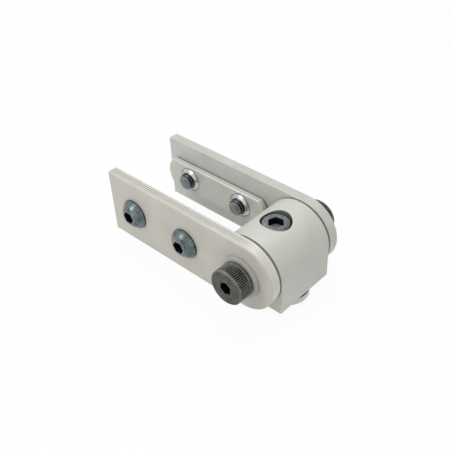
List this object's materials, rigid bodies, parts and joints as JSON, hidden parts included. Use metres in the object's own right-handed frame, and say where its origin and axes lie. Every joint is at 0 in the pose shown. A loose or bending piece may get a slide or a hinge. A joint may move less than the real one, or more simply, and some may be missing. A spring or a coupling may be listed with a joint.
{
  "type": "profile pivot joint",
  "caption": "Pivot joint for slotted framing: flat arms clamp the end of one profile and swing about a round-topped block that bolts to another profile.",
  "frame": {"origin": "centre of the block's base face, on the axis of the base screw", "axes": "+Z from the base face towards the block's round top; -X along the arms to their free ends; Y along the pivot axis, front is -Y"},
  "size_m": [0.0764, 0.0494, 0.0299],
  "materials": {
    "anodised_aluminium": "satin clear anodised",
    "zinc_steel": "mottled blue-grey zinc",
    "black_steel": "black oxide",
    "bright_steel": "plain zinc, satin",
    "acetal": "dark grey acetal",
    "bronze": "sintered bronze"
  },
  "bodies": {
    "block": {"pivot_block": "anodised_aluminium", "base_screw": "zinc_steel", "base_t_nut": "bright_steel", "front_pivot_screw": "black_steel", "front_head_washer": "bright_steel", "front_thrust_washer": "acetal", "rear_pivot_screw": "black_steel", "rear_head_washer": "bright_steel", "rear_thrust_washer": "acetal"},
    "front_arm": {"front_arm": "anodised_aluminium", "front_bush": "bronze", "front_t_nut": "bright_steel", "front_inner_arm_screw": "zinc_steel", "front_outer_arm_screw": "zinc_steel"},
    "rear_arm": {"rear_arm": "anodised_aluminium", "rear_bush": "bronze", "rear_t_nut": "bright_steel", "rear_inner_arm_screw": "zinc_steel", "rear_outer_arm_screw": "zinc_steel"}
  },
  "joints": [
    {"name": "front_arm_pivot", "type": "hinge", "parent": "block", "child": "front_arm", "pos_m": [0, -0.01525, 0.0127], "axis": [0, 1, 0], "range_deg": [0, 180]},
    {"name": "rear_arm_pivot", "type": "hinge", "parent": "block", "child": "rear_arm", "pos_m": [0, 0.01525, 0.0127], "axis": [0, 1, 0], "range_deg": [0, 180]}
  ],
  "couplings": [
    {"joint": "rear_arm_pivot", "follows": "front_arm_pivot", "ratio": 1}
  ]
}
